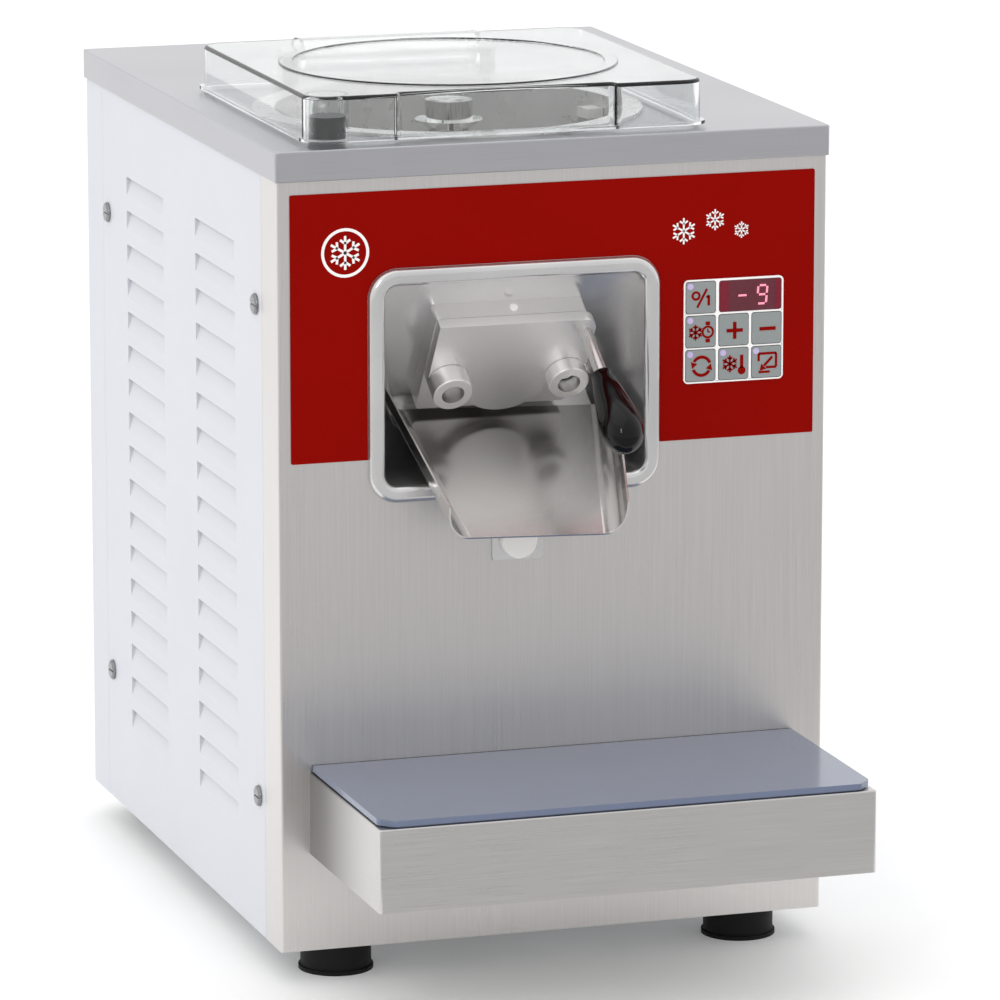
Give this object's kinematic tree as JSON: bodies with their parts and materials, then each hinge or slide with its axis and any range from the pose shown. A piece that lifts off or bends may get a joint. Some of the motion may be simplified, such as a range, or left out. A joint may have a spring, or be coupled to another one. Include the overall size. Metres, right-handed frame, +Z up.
{
  "type": "countertop batch freezer",
  "caption": "Countertop batch freezer with a hinged clear cover, turning dasher, lever-worked outlet door, chute, drip shelf and keypad.",
  "frame": {"origin": "on the surface that the feet stand on, at the middle of the overall box in plan", "axes": "+X to the right seen from the front, -Y is the front, +Z up"},
  "size_m": [0.3518, 0.607, 0.5405],
  "materials": {
    "brushed_steel": "satin, vertical brushing",
    "polished_steel": "polished",
    "white_paint": "fine satin powder coat",
    "red_panel": "satin",
    "clear_plastic": "clear, polished",
    "white_plastic": "satin",
    "knob_plastic": "translucent",
    "black_plastic": "glossy",
    "black_rubber": "matte",
    "mat_plastic": "satin gloss",
    "key_plastic": "satin",
    "display_plastic": "glossy",
    "machined_steel": "turned",
    "galvanised": "zinc plated",
    "black_paint": "satin",
    "copper": "drawn tube",
    "aluminium": "mill",
    "foam": "closed-cell foam",
    "circuit_board": "solder mask"
  },
  "bodies": {
    "cabinet": {"chassis": "galvanised", "feet": "black_rubber", "front_panel": "brushed_steel", "rear_panel": "brushed_steel", "side_panel_left": "white_paint", "side_panel_right": "white_paint", "panel_screws": "polished_steel", "top_cover": "brushed_steel", "fascia_panel": "red_panel", "cable_gland": "black_plastic", "outlet_recess": "polished_steel", "freezing_cylinder": "polished_steel", "evaporator_coil": "copper", "cylinder_insulation": "foam", "outlet_block": "machined_steel", "port_gasket": "white_plastic", "detent_pin": "white_plastic", "pivot_boss": "machined_steel", "stop_boss": "machined_steel", "boss_screws": "polished_steel", "chute_rest": "brushed_steel", "shelf": "brushed_steel", "drawer_guide": "galvanised", "cover_hinges": "machined_steel", "keypad_frame": "white_plastic", "display_window": "display_plastic", "control_board": "circuit_board", "drive_deck": "galvanised", "bearing_housing": "machined_steel", "shaft_seal": "black_rubber", "drive_belt": "black_rubber", "gear_motor": "aluminium", "motor_plate": "galvanised", "compressor": "black_paint", "condenser": "aluminium", "fan_shroud": "galvanised", "fan_motor": "black_paint", "refrigerant_lines": "copper"},
    "cover": {"clear_cover": "clear_plastic", "cover_magnet": "black_plastic"},
    "door": {"door_plate": "brushed_steel", "lever_rod": "machined_steel", "lever_grip": "black_plastic"},
    "chute": {"chute": "brushed_steel"},
    "mat": {"mat": "mat_plastic"},
    "leak_drawer": {"leak_drawer": "white_plastic", "drawer_knob": "knob_plastic"},
    "dasher": {"dasher_shaft": "machined_steel", "dasher": "machined_steel", "scraper_blades": "white_plastic", "driven_pulley": "aluminium"},
    "motor_pulley": {"motor_pulley": "aluminium"},
    "fan": {"fan_blades": "aluminium"},
    "key_11": {"key_11": "key_plastic"},
    "key_21": {"key_21": "key_plastic"},
    "key_22": {"key_22": "key_plastic"},
    "key_23": {"key_23": "key_plastic"},
    "key_31": {"key_31": "key_plastic"},
    "key_32": {"key_32": "key_plastic"},
    "key_33": {"key_33": "key_plastic"}
  },
  "joints": [
    {"name": "cover_hinge", "type": "hinge", "parent": "cabinet", "child": "cover", "pos_m": [-0.0255, 0.105, 0.525], "axis": [-1, 0, 0], "range_deg": [0, 100]},
    {"name": "door_swing", "type": "hinge", "parent": "cabinet", "child": "door", "pos_m": [-0.0608, -0.13094, 0.36693], "axis": [0, -0.8192, -0.5736], "range_deg": [0, 55]},
    {"name": "chute_slide", "type": "slide", "parent": "cabinet", "child": "chute", "axis": [0, -1, 0], "range_m": [0, 0.09]},
    {"name": "mat_lift", "type": "slide", "parent": "cabinet", "child": "mat", "axis": [0, 0, 1], "range_m": [0, 0.06]},
    {"name": "drawer_slide", "type": "slide", "parent": "cabinet", "child": "leak_drawer", "axis": [0, -1, 0], "range_m": [0, 0.12]},
    {"name": "dasher_turn", "type": "hinge", "parent": "cabinet", "child": "dasher", "pos_m": [-0.0255, -0.0265, 0.402], "axis": [0, 0, 1], "continuous": true},
    {"name": "motor_turn", "type": "hinge", "parent": "cabinet", "child": "motor_pulley", "pos_m": [-0.0255, 0.1235, 0.338], "axis": [0, 0, 1], "continuous": true},
    {"name": "fan_turn", "type": "hinge", "parent": "cabinet", "child": "fan", "pos_m": [-0.13, 0.0395, 0.1305], "axis": [1, 0, 0], "continuous": true},
    {"name": "key_11_press", "type": "slide", "parent": "cabinet", "child": "key_11", "axis": [0, 1, 0], "range_m": [0, 0.0004], "stiffness_N_per_m": 4000},
    {"name": "key_21_press", "type": "slide", "parent": "cabinet", "child": "key_21", "axis": [0, 1, 0], "range_m": [0, 0.0004], "stiffness_N_per_m": 4000},
    {"name": "key_22_press", "type": "slide", "parent": "cabinet", "child": "key_22", "axis": [0, 1, 0], "range_m": [0, 0.0004], "stiffness_N_per_m": 4000},
    {"name": "key_23_press", "type": "slide", "parent": "cabinet", "child": "key_23", "axis": [0, 1, 0], "range_m": [0, 0.0004], "stiffness_N_per_m": 4000},
    {"name": "key_31_press", "type": "slide", "parent": "cabinet", "child": "key_31", "axis": [0, 1, 0], "range_m": [0, 0.0004], "stiffness_N_per_m": 4000},
    {"name": "key_32_press", "type": "slide", "parent": "cabinet", "child": "key_32", "axis": [0, 1, 0], "range_m": [0, 0.0004], "stiffness_N_per_m": 4000},
    {"name": "key_33_press", "type": "slide", "parent": "cabinet", "child": "key_33", "axis": [0, 1, 0], "range_m": [0, 0.0004], "stiffness_N_per_m": 4000}
  ],
  "couplings": [
    {"joint": "motor_turn", "follows": "dasher_turn", "ratio": 2.75}
  ]
}
